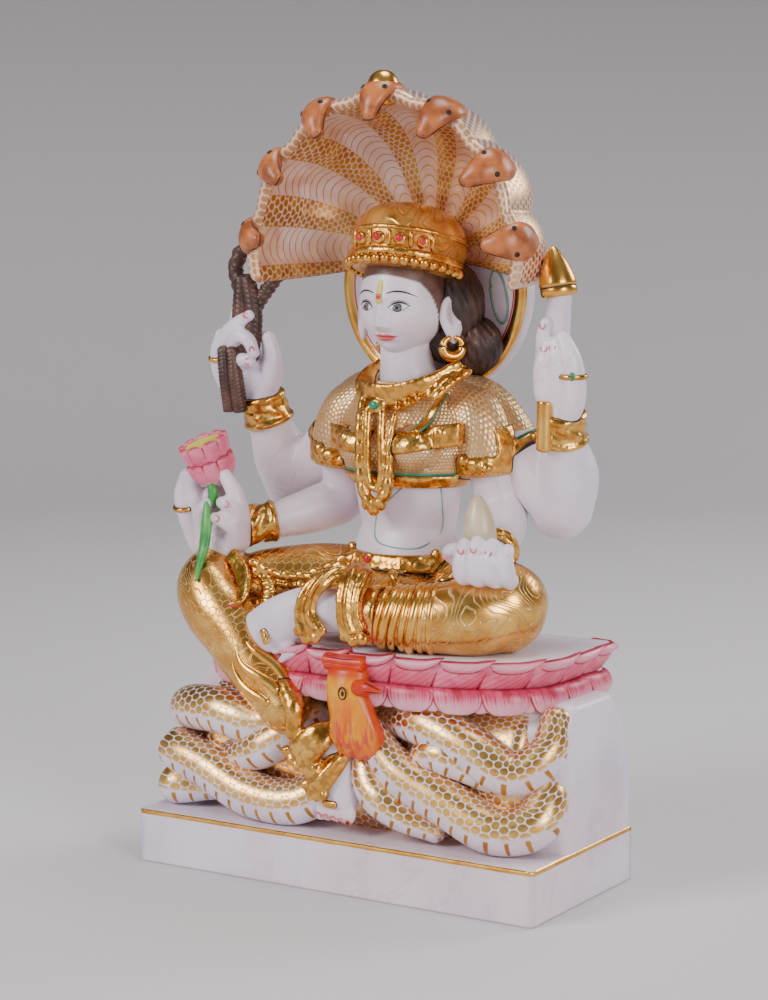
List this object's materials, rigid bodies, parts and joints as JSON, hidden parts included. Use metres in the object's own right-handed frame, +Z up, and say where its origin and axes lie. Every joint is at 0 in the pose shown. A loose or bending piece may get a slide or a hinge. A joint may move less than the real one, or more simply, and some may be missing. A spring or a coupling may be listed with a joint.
{
  "type": "goddess idol",
  "caption": "Painted and gilded white marble idol of a four-armed goddess seated on a lotus under a serpent hood, carved in one with its block plinth.",
  "frame": {"origin": "centre of the plinth's underside, which rests on the floor", "axes": "+Z up, the front of the idol looks towards -Y, +X to the viewer's right"},
  "size_m": [0.263, 0.1226, 0.457],
  "materials": {
    "marble": "polished white marble with a faint lilac tint",
    "gold_leaf": "burnished gold leaf with engraved ornament",
    "hair_paint": "dark brown paint on marble, satin",
    "serpent_paint": "terracotta paint on marble, satin",
    "petal_paint": "pink paint on marble, satin",
    "rope_paint": "brown paint on carved marble cord, satin",
    "bird_paint": "orange-red and yellow paint on marble, satin"
  },
  "bodies": {
    "root": {"goddess_idol": "marble"}
  },
  "joints": []
}
